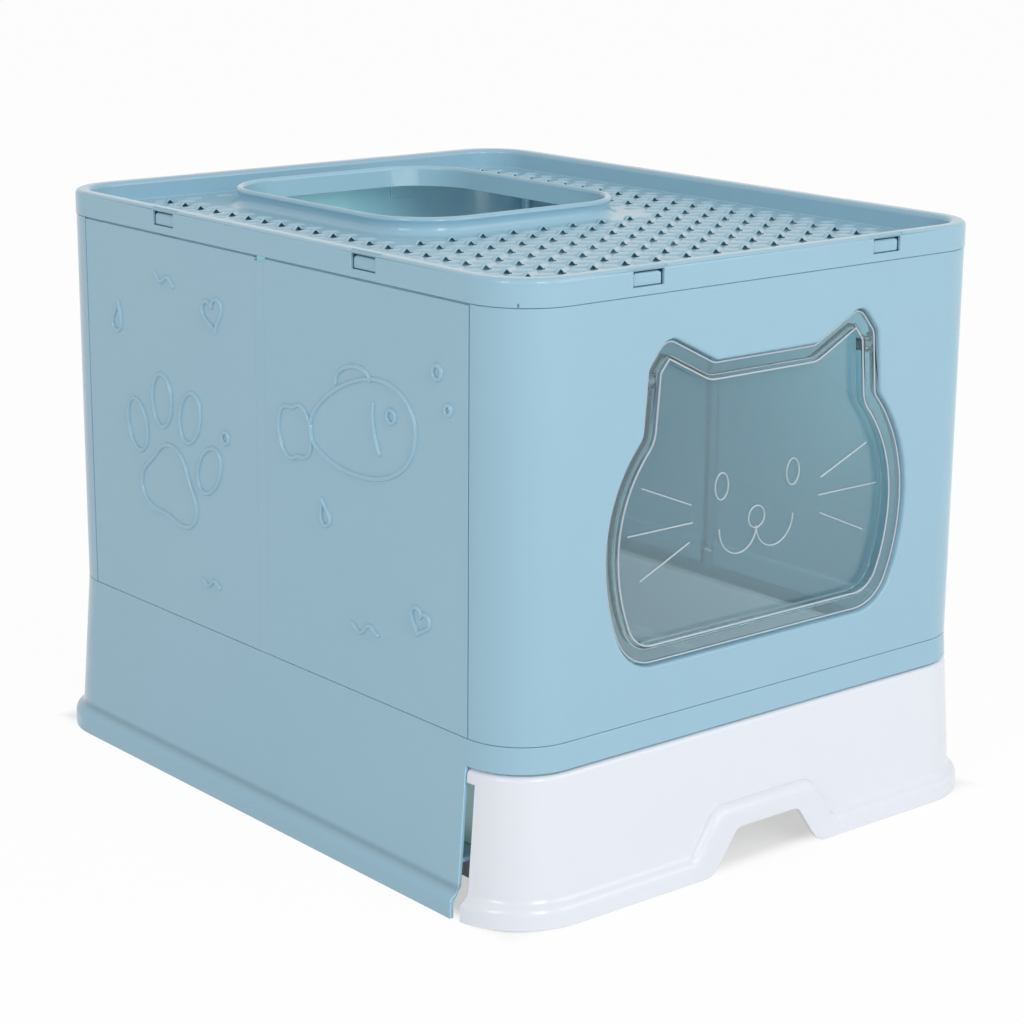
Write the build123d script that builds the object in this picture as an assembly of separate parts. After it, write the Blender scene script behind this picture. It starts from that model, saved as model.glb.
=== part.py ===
from build123d import *
import os

# Top-entry litter box. Millimetres, +Z up, the front faces -Y, the origin is on the
# ground under the middle of the box. "Outward" is away from the middle of the box.

# Walls
BOX_WIDTH = 390.0
BOX_LENGTH = 488.0
CORNER_RADIUS = 40.0
WALL = 2.6
SEAT_GAP = 0.3
SEAM_GAP = 0.8

# Base frame and the foot that base and drawer share
BASE_HEIGHT = 108.0
WALL_DRAFT = 6.5
FOOT_FLARE = 12.5
FOOT_LIP = 9.0
FOOT_SHOULDER = 19.0
BAND_HEIGHT = 16.0
RAIL_HEIGHT = 36.0
RAIL_THICKNESS = 2.6
RAIL_GAP = 2.0
RAIL_REAR_GAP = 20.0
RAIL_RIBS = 5
RAIL_RIB_MARGIN = 30.0

# Wall panels
PANEL_HEIGHT = 252.7
TONGUE_DEPTH = 10.0
TONGUE_ROOT = 8.0
TONGUE_THICKNESS = 1.8
FILM_WIDTH = 10.0
FILM_THICKNESS = 0.9
FILM_NOTCH = 3.0
SIDE_REVEAL = 0.9

# Hinges at the corner seams
BARREL_RADIUS = 3.6
HINGE_PIN_RADIUS = 1.5
HINGE_PIN_CLEARANCE = 0.05
KNUCKLE_COUNT = 3
KNUCKLE_GAP = 0.4
HINGE_MARGIN = 12.0

# Snap tabs and the lid's windows for them
TAB_WIDTH = 21.0
TAB_THICKNESS = 1.8
TAB_ROOT = 14.0
TAB_OFFSET_FRONT = 98.0
TAB_OFFSET_SIDE = 107.0
WINDOW_MARGIN = 1.2
WINDOW_SILL = 5.0
STRIP_THICKNESS = 1.1
RIM_DIP = 1.2
RIM_DIP_MARGIN = 3.0

# Lid
RIM_HEIGHT = 16.2
RIM_PROUD = 0.4
RIM_WALL = 2.2
RIM_CHANNEL = 6.0
RIM_ROUND = 3.2
DECK_DROP = 13.5
DECK_THICKNESS = 2.4
ENTRY_WIDTH = 186.0
ENTRY_LENGTH = 218.0
ENTRY_RADIUS = 45.0
ENTRY_CENTRE_Y = 89.0
COLLAR_HEIGHT = 12.0
COLLAR_LIP = 5.0
COLLAR_FOOT = 10.0
HOLE_SIZE = 6.0
HOLE_PITCH_X = 25.0
HOLE_PITCH_Y = 19.0
HOLE_MARGIN = 12.0

# Flap and its doorway
FLAP_HALF_WIDTH = 124.0
FLAP_SILL = 33.7
EAR_HEADROOM = 27.0
CHIN_INSET = 38.0
JAW_INSET = 10.5
JAW_RISE = 18.0
NECK_INSET = 27.0
NECK_DROP = 56.0
EAR_SHOULDER_INSET = 30.5
EAR_SHOULDER_DROP = 16.0
EAR_TIP_INSET = 44.0
EAR_SPREAD = 38.0
BROW_DROP = 19.0
EAR_ROUND = 9.0
FLAP_GAP = 1.9
FLAP_SETBACK = 3.5
FLAP_FLANGE = 8.0
FLAP_DEPTH = 8.4
FLAP_SHEET = 2.0
DOORWAY_DEPTH = 10.5
DOORWAY_WALL = 2.2
DOORWAY_ROUND = 1.8
FLAP_AXIS_DROP = 24.0
FLAP_PIN_RADIUS = 2.4
FLAP_PIN_RUNNING = 0.06
FLAP_PIN_HOLD = 7.0
SOCKET_DEPTH = 8.0
SOCKET_WALL = 3.0

# Drawer
FASCIA_GAP = 1.5
FASCIA_WRAP = 32.0
FASCIA_ROUND = 3.5
FASCIA_EAR = 8.0
GROUND_GAP = 0.8
TRAY_SIDE_GAP = 13.0
TRAY_STEP = 12.0
TRAY_RADIUS = 30.0
TRAY_WALL = 2.4
TRAY_FLOOR = 6.0
TRAY_REAR_GAP = 12.0
FINGER_ROOM = 24.0
RIM_LIP = 6.0
RIM_LIP_DROP = 9.0
ARCH_HALF_TOP = 26.0
ARCH_HALF_FOOT = 46.0
ARCH_RISE = 28.0
ARCH_ROUND = 7.0
ARCH_FOOT_ROUND = 18.0
ARCH_WING = 25.0
ARCH_BEAD = 15.0
ARCH_BEAD_ROUND = 6.0

# Places that follow from the sizes above
HALF_W = BOX_WIDTH / 2
HALF_L = BOX_LENGTH / 2
SEAM_Y = HALF_L - CORNER_RADIUS
PANEL_FOOT = BASE_HEIGHT + SEAT_GAP
PANEL_TOP = PANEL_FOOT + PANEL_HEIGHT
LID_FOOT = PANEL_TOP + SEAT_GAP
RIM_TOP = LID_FOOT + RIM_HEIGHT
DECK_TOP = RIM_TOP - DECK_DROP
DECK_FOOT = DECK_TOP - DECK_THICKNESS
BAND_FOOT = BASE_HEIGHT - BAND_HEIGHT
FASCIA_TOP = BAND_FOOT - FASCIA_GAP
TRAY_WIDTH = BOX_WIDTH - 2 * TRAY_SIDE_GAP
HINGE_INSET = WALL + BARREL_RADIUS + SEAT_GAP
WINDOW_HEIGHT = RIM_HEIGHT - WINDOW_SILL - RIM_WALL
FLAP_BOTTOM = PANEL_FOOT + FLAP_SILL
EAR_TIP = (FLAP_HALF_WIDTH - EAR_TIP_INSET, PANEL_TOP - EAR_HEADROOM)
EAR_SHOULDER = (FLAP_HALF_WIDTH - EAR_SHOULDER_INSET, EAR_TIP[1] - EAR_SHOULDER_DROP)
NECK = (FLAP_HALF_WIDTH - NECK_INSET, EAR_TIP[1] - NECK_DROP)
CHEEK = (FLAP_HALF_WIDTH, (FLAP_BOTTOM + NECK[1]) / 2)
JAW = (FLAP_HALF_WIDTH - JAW_INSET, FLAP_BOTTOM + JAW_RISE)
CHIN = (FLAP_HALF_WIDTH - CHIN_INSET, FLAP_BOTTOM)
BROW = (EAR_TIP[0] - EAR_SPREAD, EAR_TIP[1] - BROW_DROP)
FLAP_AXIS_Z = EAR_TIP[1] - FLAP_AXIS_DROP
FLAP_FACE_Y = -HALF_L + FLAP_SETBACK
FLAP_AXIS_Y = FLAP_FACE_Y + FLAP_DEPTH / 2
THROUGH_WALL = CORNER_RADIUS
BIG = 2 * (BOX_LENGTH + PANEL_HEIGHT)


def block(x, y, z):
    """A box given by its lowest and highest place on each axis."""
    size = (x[1] - x[0], y[1] - y[0], z[1] - z[0])
    middle = (sum(x) / 2, sum(y) / 2, sum(z) / 2)
    return Pos(*middle) * Box(*size)


def outline(*points):
    """A straight-sided face through the points."""
    return make_face(Polyline(*points, close=True))


def ring(section, width, length, radius, centre_y=0.0):
    """Carry a section round a rounded rectangle: section x points outward, section y up."""
    middle = Vector(0, centre_y, 0)
    pieces = []
    for quarter in range(4):
        out = Vector(1, 0, 0).rotate(Axis.Z, 90 * quarter)
        along = Vector(0, 1, 0).rotate(Axis.Z, 90 * quarter)
        spans = (width / 2, length / 2) if quarter % 2 == 0 else (length / 2, width / 2)
        reach = spans[0]
        run = spans[1] - radius
        plane = Plane(origin=middle + out * reach + along * run, x_dir=out, z_dir=-along)
        corner = middle + out * (reach - radius) + along * run
        pieces.append(extrude(plane * section, amount=2 * run, dir=-along))
        pieces.append(revolve(plane * section, Axis(corner, (0, 0, 1)), 90))
    return Part() + pieces


def rounded_slab(width, length, radius, z, centre_y=0.0):
    """A flat plate with round corners between two heights."""
    plan = Pos(0, centre_y, z[0]) * RectangleRounded(width, length, radius)
    return extrude(plan, amount=z[1] - z[0], dir=(0, 0, 1))


def upright(face, y):
    """Give a face drawn in x and z a depth between two places on Y."""
    plane = Plane(origin=(0, y[1], 0), x_dir=(1, 0, 0), z_dir=(0, -1, 0))
    return extrude(plane * face, amount=y[1] - y[0], dir=(0, -1, 0))


def flared_wall():
    """The drafted wall all round, with an ogee shoulder and an upright lip at its foot."""
    knee = Vector(WALL_DRAFT, FOOT_SHOULDER)
    lip = Vector(FOOT_FLARE, FOOT_LIP)
    middle = (knee + lip) / 2
    wall = Line((0, BASE_HEIGHT), knee)
    hollow = TangentArc(knee, middle, tangent=(0, -1))
    swell = TangentArc(middle, lip, tangent=hollow % 1)
    inside = Polyline(
        lip,
        (FOOT_FLARE, 0),
        (FOOT_FLARE - WALL, 0),
        (FOOT_FLARE - WALL, FOOT_LIP),
        (WALL_DRAFT - WALL, FOOT_SHOULDER),
        (-WALL, BASE_HEIGHT),
        (0, BASE_HEIGHT),
    )
    section = make_face([wall, hollow, swell] + inside.edges())
    return ring(section, BOX_WIDTH, BOX_LENGTH, CORNER_RADIUS)


def wall_out_at(z):
    """How far the drafted wall stands out at a height."""
    return WALL_DRAFT * (BASE_HEIGHT - z) / (BASE_HEIGHT - FOOT_SHOULDER)


def make_base_frame(wall):
    """Three flared walls, a band over the drawer and a runner rail on each side."""
    mouth = block((-BIG, BIG), (-BIG, -SEAM_Y), (-BIG, BAND_FOOT))
    frame = wall - mouth
    rail_in = TRAY_WIDTH / 2 - TRAY_STEP + RAIL_GAP
    rail_out = HALF_W + wall_out_at(RAIL_HEIGHT) - WALL / 2
    rail_top = RAIL_HEIGHT - SEAT_GAP
    rail_foot = rail_top - RAIL_THICKNESS
    rail_start = -SEAM_Y
    rail_end = HALF_L - RAIL_REAR_GAP
    rib_pitch = (rail_end - rail_start - 2 * RAIL_RIB_MARGIN) / (RAIL_RIBS - 1)
    rails = []
    for side in (1, -1):
        x = sorted((side * rail_in, side * rail_out))
        rails.append(block(x, (rail_start, rail_end), (rail_foot, rail_top)))
        gusset = outline((rail_in, rail_foot), (rail_out, rail_foot), (rail_out, FOOT_SHOULDER))
        for index in range(RAIL_RIBS):
            y = rail_start + RAIL_RIB_MARGIN + index * rib_pitch
            rib = upright(gusset, (y - WALL / 2, y + WALL / 2))
            rails.append(rib if side > 0 else mirror(rib, Plane.YZ))
    rear_reach = ring_inside(RAIL_HEIGHT)
    return frame + [rail & rear_reach for rail in rails]


def ring_inside(z):
    """The space out to the middle of the drafted wall at a height."""
    out = 2 * (wall_out_at(z) - WALL / 2)
    return rounded_slab(BOX_WIDTH + out, BOX_LENGTH + out, CORNER_RADIUS + out / 2, (0, BASE_HEIGHT))


def arch_face(grow):
    """The finger arch in x and z, widened by grow: slanted sides, round crown and round feet.

    A wing runs out from each foot, level at the ground or falling into the foot lip.
    """
    crown_half = ARCH_HALF_TOP + grow
    foot_half = ARCH_HALF_FOOT + grow
    wing = foot_half + ARCH_WING
    wing_z = min(grow, FOOT_LIP)
    face = outline(
        (-wing, -THROUGH_WALL),
        (-wing, wing_z),
        (-foot_half, grow),
        (-crown_half, ARCH_RISE + grow),
        (crown_half, ARCH_RISE + grow),
        (foot_half, grow),
        (wing, wing_z),
        (wing, -THROUGH_WALL),
    )
    crown = face.vertices().group_by(Axis.Y)[-1]
    face = fillet(crown, ARCH_ROUND + grow / 2)
    foot = [v for v in face.vertices() if abs(abs(v.X) - foot_half) < SEAT_GAP]
    return fillet(foot, ARCH_FOOT_ROUND - grow / 2)


def make_litter_drawer(wall):
    """A stepped tray on the rails, hung from a fascia that follows the base's wall."""
    keep = block((-BIG, BIG), (-BIG, -HALF_L + FASCIA_WRAP), (GROUND_GAP, FASCIA_TOP))
    keep += block((-BIG, BIG), (-BIG, -SEAM_Y - FASCIA_GAP), (FASCIA_TOP - FASCIA_EAR, FASCIA_TOP))
    tray_front = -HALF_L + FINGER_ROOM
    tray_rear = HALF_L - TRAY_REAR_GAP
    tray_length = tray_rear - tray_front
    tray_y = (tray_front + tray_rear) / 2

    shelf_reach = wall_out_at(FASCIA_TOP)
    shelf = rounded_slab(
        BOX_WIDTH + 2 * shelf_reach - WALL,
        BOX_LENGTH + 2 * shelf_reach - WALL,
        CORNER_RADIUS,
        (FASCIA_TOP - TRAY_WALL, FASCIA_TOP),
    )
    fascia = (wall & keep) + (shelf & keep)
    brow = fascia.edges().filter_by_position(Axis.Z, FASCIA_TOP - SEAT_GAP, FASCIA_TOP + SEAT_GAP)
    brow = brow.filter_by_position(Axis.Y, -BIG, -SEAM_Y - FASCIA_GAP - SEAT_GAP)
    fascia = fillet(brow, FASCIA_ROUND)

    face_y = -HALF_L - FOOT_FLARE
    inner_y = -HALF_L - WALL_DRAFT
    bead_hollow = upright(arch_face(ARCH_BEAD - WALL), (face_y + WALL, inner_y + 2 * WALL))
    bead = upright(arch_face(ARCH_BEAD), (face_y, inner_y + WALL))
    bead_front = bead.edges().group_by(Axis.Y)[0].filter_by_position(Axis.Z, 0, BASE_HEIGHT)
    bead = fillet(bead_front, ARCH_BEAD_ROUND) & keep
    fascia = fascia - bead_hollow + (bead - bead_hollow)
    fascia -= upright(arch_face(0), (face_y - WALL, tray_front - WALL))

    low_width = TRAY_WIDTH - 2 * TRAY_STEP
    low_length = tray_length - 2 * TRAY_STEP
    low_radius = TRAY_RADIUS - TRAY_STEP
    upper = rounded_slab(TRAY_WIDTH, tray_length, TRAY_RADIUS, (RAIL_HEIGHT, FASCIA_TOP), tray_y)
    lower = rounded_slab(low_width, low_length, low_radius, (TRAY_FLOOR, RAIL_HEIGHT), tray_y)
    thin = 2 * TRAY_WALL
    pocket = rounded_slab(
        TRAY_WIDTH - thin, tray_length - thin, TRAY_RADIUS - TRAY_WALL,
        (RAIL_HEIGHT + TRAY_WALL, BASE_HEIGHT), tray_y,
    ) + rounded_slab(
        low_width - thin, low_length - thin, low_radius - TRAY_WALL,
        (TRAY_FLOOR + TRAY_WALL, BASE_HEIGHT), tray_y,
    )
    lip = outline(
        (-TRAY_WALL / 2, FASCIA_TOP),
        (RIM_LIP, FASCIA_TOP),
        (RIM_LIP, FASCIA_TOP - RIM_LIP_DROP),
        (RIM_LIP - TRAY_WALL, FASCIA_TOP - RIM_LIP_DROP),
        (RIM_LIP - TRAY_WALL, FASCIA_TOP - TRAY_WALL),
        (-TRAY_WALL / 2, FASCIA_TOP - TRAY_WALL),
    )
    rim = ring(lip, TRAY_WIDTH, tray_length, TRAY_RADIUS, tray_y)
    return fascia + [upper, lower, rim] - pocket


def wall_ring():
    """Upright wall with the tongue that drops inside the base, before it is cut into panels."""
    slot = -WALL - SEAT_GAP
    back = slot - TONGUE_THICKNESS
    section = outline(
        (0, PANEL_FOOT),
        (0, PANEL_TOP),
        (-WALL, PANEL_TOP),
        (-WALL, PANEL_FOOT + TONGUE_ROOT),
        (back, PANEL_FOOT + TONGUE_ROOT - TONGUE_THICKNESS),
        (back, PANEL_FOOT - TONGUE_DEPTH),
        (slot, PANEL_FOOT - TONGUE_DEPTH),
        (slot, PANEL_FOOT),
    )
    return ring(section, BOX_WIDTH, BOX_LENGTH, CORNER_RADIUS)


def snap_tab():
    """A tab at the wall x = 0, outward +X: a root behind the wall and a head in the window."""
    face_x = -RIM_WALL - SEAT_GAP + RIM_PROUD
    head_x = RIM_PROUD - STRIP_THICKNESS - SEAT_GAP
    back_x = face_x - TAB_THICKNESS
    sill = LID_FOOT + WINDOW_SILL
    head_foot = sill + WINDOW_MARGIN / 2
    head_top = sill + WINDOW_HEIGHT - WINDOW_MARGIN
    root_x = -WALL - TAB_THICKNESS
    section = outline(
        (-WALL / 2, PANEL_TOP),
        (-WALL / 2, PANEL_TOP - TAB_ROOT),
        (-WALL, PANEL_TOP - TAB_ROOT - TAB_THICKNESS),
        (root_x, PANEL_TOP - TAB_ROOT),
        (min(root_x, back_x), PANEL_TOP),
        (back_x, head_top),
        (face_x, head_top),
        (head_x, head_top - TAB_THICKNESS),
        (head_x, head_foot),
        (face_x, head_foot - (head_x - face_x)),
        (face_x, PANEL_TOP),
    )
    plane = Plane(origin=(0, TAB_WIDTH / 2, 0), x_dir=(1, 0, 0), z_dir=(0, -1, 0))
    tab = extrude(plane * section, amount=TAB_WIDTH, dir=(0, -1, 0))
    corners = tab.edges().filter_by(Axis.X).group_by(Axis.Z)[-1]
    return fillet(corners, TAB_THICKNESS)


def beside(quarter, offset):
    """Place what is made at the wall x = 0 on a side of the box: 0 right, 1 rear, 2 left, 3 front."""
    reach = HALF_W if quarter % 2 == 0 else HALF_L
    return Rot(0, 0, 90 * quarter) * Pos(reach, offset, 0)


def tab_offset(quarter):
    return TAB_OFFSET_SIDE if quarter % 2 == 0 else TAB_OFFSET_FRONT


def tabs_on(quarter):
    """The two snap tabs of one side."""
    tab = snap_tab()
    return [beside(quarter, sign * tab_offset(quarter)) * tab for sign in (1, -1)]


def hinge_span():
    """Lowest and highest place of the hinge barrels."""
    return PANEL_FOOT + HINGE_MARGIN, DECK_FOOT - HINGE_MARGIN


def hinge_axis(side, end):
    return side * (HALF_W - HINGE_INSET), end * SEAM_Y


def knuckles(side, end, on_corner):
    """Hinge knuckles of one panel at one seam: the corner panel has the odd ones out."""
    x, y = hinge_axis(side, end)
    low, high = hinge_span()
    height = (high - low + KNUCKLE_GAP) / KNUCKLE_COUNT
    bore = HINGE_PIN_RADIUS + HINGE_PIN_CLEARANCE
    own = end if on_corner else -end
    made = []
    for index in range(0 if on_corner else 1, KNUCKLE_COUNT, 2):
        foot = low + index * height
        span = (foot, foot + height - KNUCKLE_GAP)
        middle = sum(span) / 2
        barrel = Pos(x, y, middle) * Cylinder(BARREL_RADIUS, span[1] - span[0])
        web_x = sorted((x, side * (HALF_W - WALL / 2)))
        web_y = sorted((y + own * SEAM_GAP, y + own * (BARREL_RADIUS + WALL)))
        hole = Pos(x, y, middle) * Cylinder(bore, span[1] - span[0] + KNUCKLE_GAP)
        made.append(barrel + block(web_x, web_y, span) - hole)
    return made


def make_hinge_pin(side, end):
    """The rod through one seam's knuckles."""
    x, y = hinge_axis(side, end)
    low, high = hinge_span()
    return Pos(x, y, (low + high) / 2) * Cylinder(HINGE_PIN_RADIUS, high - low)


def head_face():
    """The flap's outline in x and z: straight chin, round jaw and cheeks, two ears."""
    chin = Line((0, FLAP_BOTTOM), CHIN)
    jaw = TangentArc(CHIN, JAW, tangent=(1, 0))
    side = TangentArc(JAW, CHEEK, tangent=jaw % 1)
    cheek = TangentArc(CHEEK, NECK, tangent=side % 1)
    ear = Polyline(NECK, EAR_SHOULDER, EAR_TIP, BROW, (0, BROW[1]))
    half = chin.edges() + jaw.edges() + side.edges() + cheek.edges() + ear.edges()
    face = make_face(half + [mirror(edge, Plane.YZ) for edge in half])
    above_cheeks = (CHEEK[1] + NECK[1]) / 2
    sharp = [v for v in face.vertices() if v.Y > above_cheeks and abs(v.X) > BROW[0] / 2]
    return fillet(sharp, EAR_ROUND)


def make_flap(face):
    """A dished sheet: flange round the edge, a step, a sunk pane and a boss for each pin."""
    flange_in = offset(face, amount=-FLAP_FLANGE)
    pane_in = offset(face, amount=-FLAP_FLANGE - FLAP_SHEET)
    front = FLAP_FACE_Y
    back = FLAP_FACE_Y + FLAP_DEPTH
    flap = upright(face, (front, back))
    flap -= upright(pane_in, (front - WALL, back - FLAP_SHEET))
    rim = upright(offset(face, amount=WALL), (front + FLAP_SHEET, back + WALL))
    flap -= rim - upright(flange_in, (front, back + WALL))
    for side in (1, -1):
        x = side * pin_edge()
        boss_x = sorted((x, x - side * FLAP_PIN_HOLD))
        boss = block(
            boss_x,
            (front, back),
            (FLAP_AXIS_Z - FLAP_DEPTH / 2, FLAP_AXIS_Z + FLAP_DEPTH / 2),
        ) & upright(face, (front, back))
        flap += boss
    for side in (1, -1):
        flap -= pin_rod(side, FLAP_PIN_RADIUS, pin_edge() - FLAP_PIN_HOLD, pin_edge() + WALL)
    return flap


def pin_edge():
    """Half width of the flap at its pins."""
    share = (FLAP_AXIS_Z - NECK[1]) / (EAR_SHOULDER[1] - NECK[1])
    return NECK[0] + share * (EAR_SHOULDER[0] - NECK[0])


def pin_rod(side, radius, near, far):
    """A rod on the flap's axis between two half widths."""
    rod = Cylinder(radius, far - near, rotation=(0, 90, 0))
    return Pos(side * (near + far) / 2, FLAP_AXIS_Y, FLAP_AXIS_Z) * rod


def make_flap_pin(side):
    """Pivot pin: held in the flap's boss, turning in the doorway's socket."""
    near = pin_edge() - FLAP_PIN_HOLD
    return pin_rod(side, FLAP_PIN_RADIUS, near, pin_edge() + FLAP_GAP + SOCKET_DEPTH - SEAT_GAP)


def make_front_panel(ring_wall, face):
    """Front wall with both front corners, the doorway's collar and the pin sockets."""
    keep = block((-BIG, BIG), (-BIG, -SEAM_Y - SEAM_GAP / 2), (-BIG, BIG))
    panel = ring_wall & keep
    opening = offset(face, amount=FLAP_GAP)
    collar_out = offset(face, amount=FLAP_GAP + DOORWAY_WALL)
    collar_y = (-HALF_L + WALL / 2, -HALF_L + DOORWAY_DEPTH)
    panel += upright(collar_out, collar_y)
    for side in (1, -1):
        near = pin_edge() + FLAP_GAP
        x = sorted((side * near, side * (near + SOCKET_DEPTH)))
        reach = FLAP_PIN_RADIUS + SOCKET_WALL
        z = (FLAP_AXIS_Z - reach, FLAP_AXIS_Z + reach)
        panel += block(x, (-HALF_L + WALL / 2, FLAP_AXIS_Y + reach), z)
    panel -= upright(opening, (-HALF_L - WALL, -HALF_L + THROUGH_WALL))
    front_edges = panel.edges().group_by(Axis.Y)[0]
    reach = FLAP_HALF_WIDTH + FLAP_GAP + WALL
    doorway_edges = front_edges.filter_by_position(Axis.X, -reach, reach)
    doorway_edges = doorway_edges.filter_by_position(Axis.Z, FLAP_BOTTOM - FLAP_GAP - WALL, PANEL_TOP - WALL)
    panel = fillet(doorway_edges, DOORWAY_ROUND)
    for side in (1, -1):
        bore = FLAP_PIN_RADIUS + FLAP_PIN_RUNNING
        near = pin_edge() - FLAP_PIN_HOLD
        panel -= pin_rod(side, bore, near, pin_edge() + FLAP_GAP + SOCKET_DEPTH - SEAT_GAP / 2)
    panel += tabs_on(3)
    for side in (1, -1):
        panel += knuckles(side, -1, True)
    return panel


def make_rear_panel(ring_wall):
    """Rear wall with both rear corners."""
    keep = block((-BIG, BIG), (SEAM_Y + SEAM_GAP / 2, BIG), (-BIG, BIG))
    panel = (ring_wall & keep) + tabs_on(1)
    for side in (1, -1):
        panel += knuckles(side, 1, True)
    return panel


def make_side_panel(ring_wall, side):
    """Side wall: two leaves of one moulding, joined by a film hinge down the middle."""
    reach = SEAM_Y - SEAM_GAP / 2
    keep = block(sorted((0, side * BIG)), (-reach, reach), (-BIG, BIG))
    panel = (ring_wall & keep) + tabs_on(0 if side > 0 else 2)
    film_x = sorted((side * (HALF_W - FILM_THICKNESS), side * (HALF_W - THROUGH_WALL)))
    half_film = FILM_WIDTH / 2
    panel -= block(film_x, (-half_film, half_film), (-BIG, BIG))
    notch = (PANEL_TOP - FILM_NOTCH, BIG)
    panel -= block(sorted((0, side * BIG)), (-half_film, half_film), notch)
    reveal_x = sorted((side * (HALF_W - WALL / 2), side * BIG))
    panel -= block(reveal_x, (-reach, reach), (PANEL_TOP - SIDE_REVEAL, PANEL_TOP))
    for end in (1, -1):
        panel += knuckles(side, end, False)
    return panel


def rim_section():
    """The lid's rim: outer skirt, rounded top and inner wall round a channel for the tabs."""
    out = RIM_PROUD
    inner = out - 2 * RIM_WALL - RIM_CHANNEL
    skirt = out - RIM_WALL
    face = outline(
        (out, LID_FOOT),
        (out, RIM_TOP),
        (inner, RIM_TOP),
        (inner, DECK_FOOT),
        (inner + RIM_WALL, DECK_FOOT),
        (inner + RIM_WALL, RIM_TOP - RIM_WALL),
        (skirt, RIM_TOP - RIM_WALL),
        (skirt, LID_FOOT),
    )
    crown = face.vertices().group_by(Axis.Y)[-1]
    return fillet(crown, RIM_ROUND)


def collar_section():
    """The entry's collar: straight inside, a round lip and a foot that sweeps into the deck."""
    top = DECK_TOP + COLLAR_HEIGHT
    half_lip = COLLAR_LIP / 2
    shoulder = top - half_lip
    lip_out = Vector(COLLAR_LIP, shoulder)
    foot = Vector(COLLAR_FOOT, DECK_TOP)
    inside = Line((0, DECK_FOOT), (0, shoulder))
    lip = ThreePointArc((0, shoulder), (half_lip, top), lip_out)
    sweep_out = TangentArc(foot, lip_out, tangent=(-1, 0))
    edge = Line(foot, (COLLAR_FOOT, DECK_FOOT))
    under = Line((COLLAR_FOOT, DECK_FOOT), (0, DECK_FOOT))
    return make_face([inside, lip, sweep_out, edge, under])


def sift_holes():
    """Diamond holes on a square-set grid, clear of the rim and of the collar."""
    rim_in = 2 * RIM_WALL + RIM_CHANNEL - RIM_PROUD + HOLE_MARGIN
    limit_x = HALF_W - rim_in
    limit_y = HALF_L - rim_in
    collar_x = ENTRY_WIDTH / 2 + COLLAR_FOOT + HOLE_SIZE
    collar_y = ENTRY_LENGTH / 2 + COLLAR_FOOT + HOLE_SIZE
    columns = int(limit_x // HOLE_PITCH_X)
    rows = int(limit_y // HOLE_PITCH_Y)
    diamond = Rot(0, 0, 45) * Box(HOLE_SIZE, HOLE_SIZE, 3 * DECK_THICKNESS)
    holes = []
    for column in range(-columns, columns + 1):
        for row in range(-rows, rows + 1):
            x = column * HOLE_PITCH_X
            y = row * HOLE_PITCH_Y
            in_collar = abs(x) < collar_x and abs(y - ENTRY_CENTRE_Y) < collar_y
            corner = max(abs(x) - limit_x + CORNER_RADIUS, 0), max(abs(y) - limit_y + CORNER_RADIUS, 0)
            in_corner = Vector(*corner).length > CORNER_RADIUS
            if not in_collar and not in_corner:
                holes.append(Pos(x, y, DECK_TOP) * diamond)
    return holes


def make_top_lid():
    """Rim, sunk sifting deck and entry collar, with a window for each snap tab."""
    lid = ring(rim_section(), BOX_WIDTH, BOX_LENGTH, CORNER_RADIUS)
    trim = 2 * (RIM_PROUD - 1.5 * RIM_WALL - RIM_CHANNEL)
    deck = rounded_slab(
        BOX_WIDTH + trim, BOX_LENGTH + trim, CORNER_RADIUS + trim / 2, (DECK_FOOT, DECK_TOP),
    )
    hole = rounded_slab(
        ENTRY_WIDTH, ENTRY_LENGTH, ENTRY_RADIUS, (DECK_FOOT - WALL, DECK_TOP + WALL), ENTRY_CENTRE_Y,
    )
    collar = ring(collar_section(), ENTRY_WIDTH, ENTRY_LENGTH, ENTRY_RADIUS, ENTRY_CENTRE_Y)
    lid += (deck - hole) + collar

    half = TAB_WIDTH / 2 + WINDOW_MARGIN
    sill = LID_FOOT + WINDOW_SILL
    skirt_in = RIM_PROUD - RIM_WALL - SEAT_GAP
    window = block((skirt_in, WALL), (-half, half), (sill, sill + WINDOW_HEIGHT))
    relief = block((skirt_in, RIM_PROUD - STRIP_THICKNESS), (-half, half), (LID_FOOT - WALL, sill))
    dip_half = half + RIM_DIP_MARGIN
    dip = block((RIM_PROUD - RIM_ROUND, WALL), (-dip_half, dip_half), (RIM_TOP - RIM_DIP, RIM_TOP + WALL))
    cuts = []
    for quarter in range(4):
        for sign in (1, -1):
            place = beside(quarter, sign * tab_offset(quarter))
            cuts += [place * window, place * relief, place * dip]
    return lid - cuts - sift_holes()


def build():
    """Every piece, by the name of its node."""
    wall = flared_wall()
    ring_wall = wall_ring()
    face = head_face()
    pieces = {
        "base_frame": make_base_frame(wall),
        "litter_drawer": make_litter_drawer(wall),
        "front_panel": make_front_panel(ring_wall, face),
        "rear_panel": make_rear_panel(ring_wall),
        "left_side_panel": make_side_panel(ring_wall, -1),
        "right_side_panel": make_side_panel(ring_wall, 1),
        "top_lid": make_top_lid(),
        "flap_door": make_flap(face),
        "flap_pin_left": make_flap_pin(-1),
        "flap_pin_right": make_flap_pin(1),
    }
    for side, side_name in ((-1, "left"), (1, "right")):
        for end, end_name in ((-1, "front"), (1, "rear")):
            pieces[f"{side_name}_{end_name}_hinge_pin"] = make_hinge_pin(side, end)
    return pieces


os.makedirs("parts", exist_ok=True)
for node, piece in build().items():
    export_step(piece, f"parts/{node}.step")
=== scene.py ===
import math

import bmesh
import bpy
import numpy as np
from bpy.props import FloatProperty, FloatVectorProperty, IntProperty, PointerProperty
from mathutils import Matrix, Vector


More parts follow.
